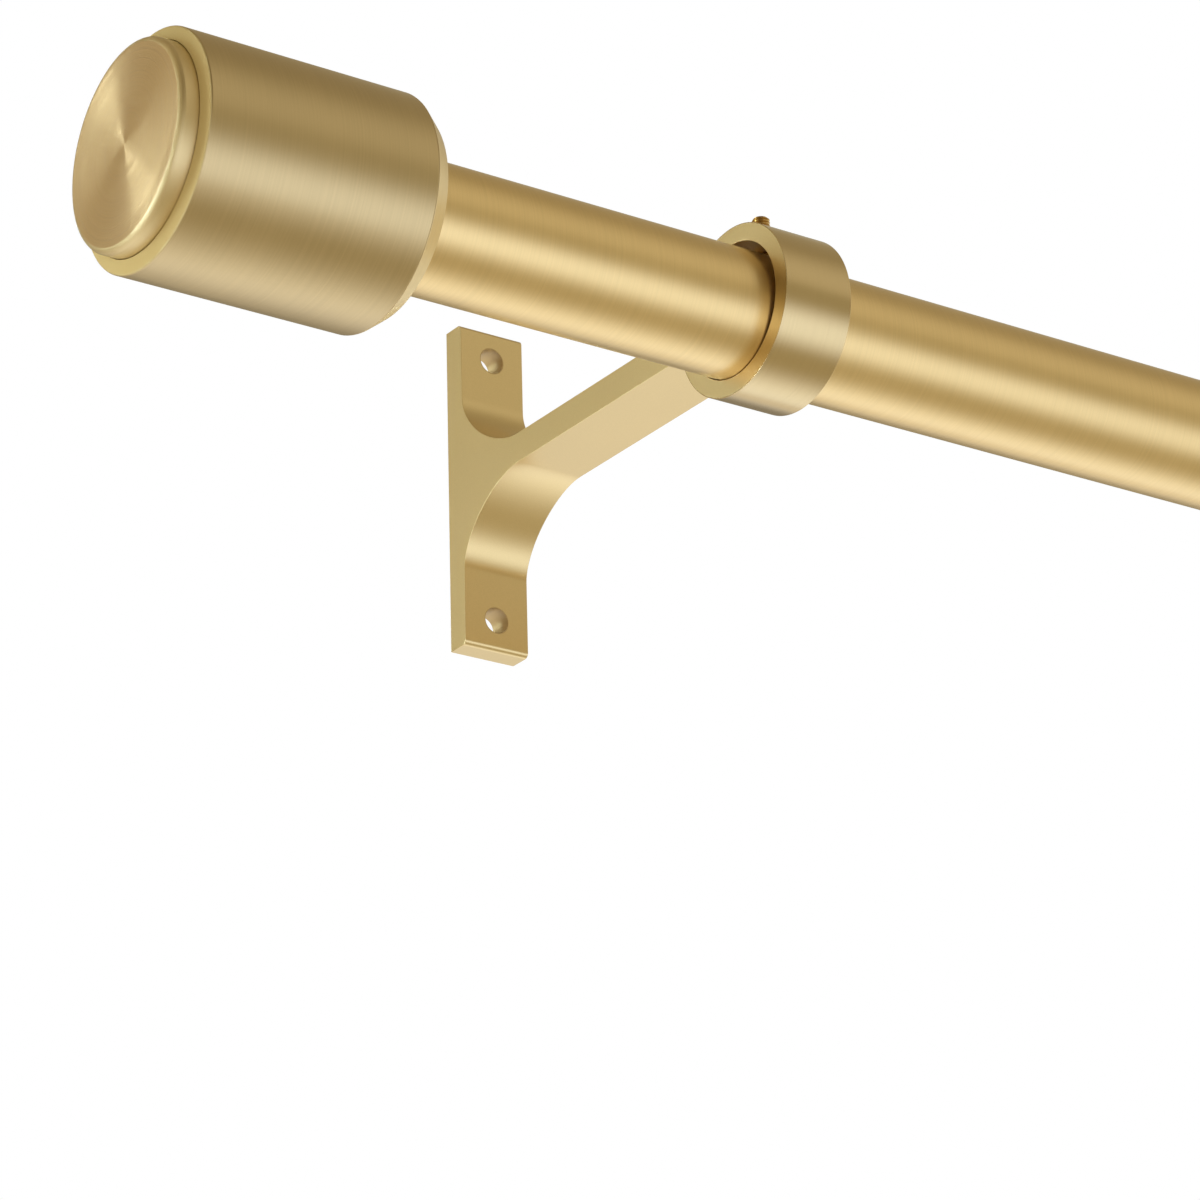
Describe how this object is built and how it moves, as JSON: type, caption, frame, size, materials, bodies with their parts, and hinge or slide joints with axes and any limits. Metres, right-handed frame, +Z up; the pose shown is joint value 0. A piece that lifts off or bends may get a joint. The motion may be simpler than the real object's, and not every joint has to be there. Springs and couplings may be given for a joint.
{
  "type": "extendable curtain rod",
  "caption": "Round telescoping curtain rod with drum finials, carried in the rings of slim wall brackets and clamped there by set screws.",
  "frame": {"origin": "middle of the left bracket's back face, between its two wall screw holes", "axes": "+X along the rod from the left bracket to the right one, +Y into the wall, +Z up"},
  "size_m": [0.8218, 0.1227, 0.0731],
  "materials": {
    "tube_brass": "brass-coloured plating on steel tube, brushed round the tube",
    "finial_brass": "brass-coloured, brushed round the drum",
    "face_brass": "brass-coloured, turned in fine circles",
    "bracket_brass": "brass-coloured, satin",
    "screw_brass": "brass-coloured plating",
    "fastener_steel": "zinc plated",
    "plastic": "moulded"
  },
  "bodies": {
    "left_bracket": {"left_bracket": "bracket_brass"},
    "left_set_screw": {"left_set_screw": "screw_brass"},
    "outer_rod": {"outer_tube": "tube_brass", "outer_tube_plug": "plastic", "outer_plug_nut": "fastener_steel", "left_finial_shell": "finial_brass", "left_finial_face": "face_brass", "left_finial_back": "finial_brass", "left_finial_stud": "fastener_steel"},
    "inner_rod": {"inner_tube": "tube_brass", "guide_bush": "plastic", "inner_tube_plug": "plastic", "inner_plug_nut": "fastener_steel", "right_finial_shell": "finial_brass", "right_finial_face": "face_brass", "right_finial_back": "finial_brass", "right_finial_stud": "fastener_steel"},
    "right_bracket": {"right_bracket": "bracket_brass"},
    "right_set_screw": {"right_set_screw": "screw_brass"}
  },
  "joints": [
    {"name": "left_bracket_slide", "type": "slide", "parent": "left_bracket", "child": "outer_rod", "axis": [1, 0, 0], "range_m": [-0.505, 0.0765]},
    {"name": "telescope", "type": "slide", "parent": "outer_rod", "child": "inner_rod", "axis": [1, 0, 0], "range_m": [0, 0.508]},
    {"name": "right_bracket_slide", "type": "slide", "parent": "inner_rod", "child": "right_bracket", "axis": [1, 0, 0], "range_m": [-0.008, 0.0765]},
    {"name": "left_screw_turn", "type": "hinge", "parent": "left_bracket", "child": "left_set_screw", "pos_m": [0, -0.0999, 0.017], "axis": [0, 0, 1], "range_deg": [0, 900]},
    {"name": "right_screw_turn", "type": "hinge", "parent": "right_bracket", "child": "right_set_screw", "pos_m": [0.5416, -0.0999, 0.015], "axis": [0, 0, 1], "range_deg": [0, 900]}
  ]
}
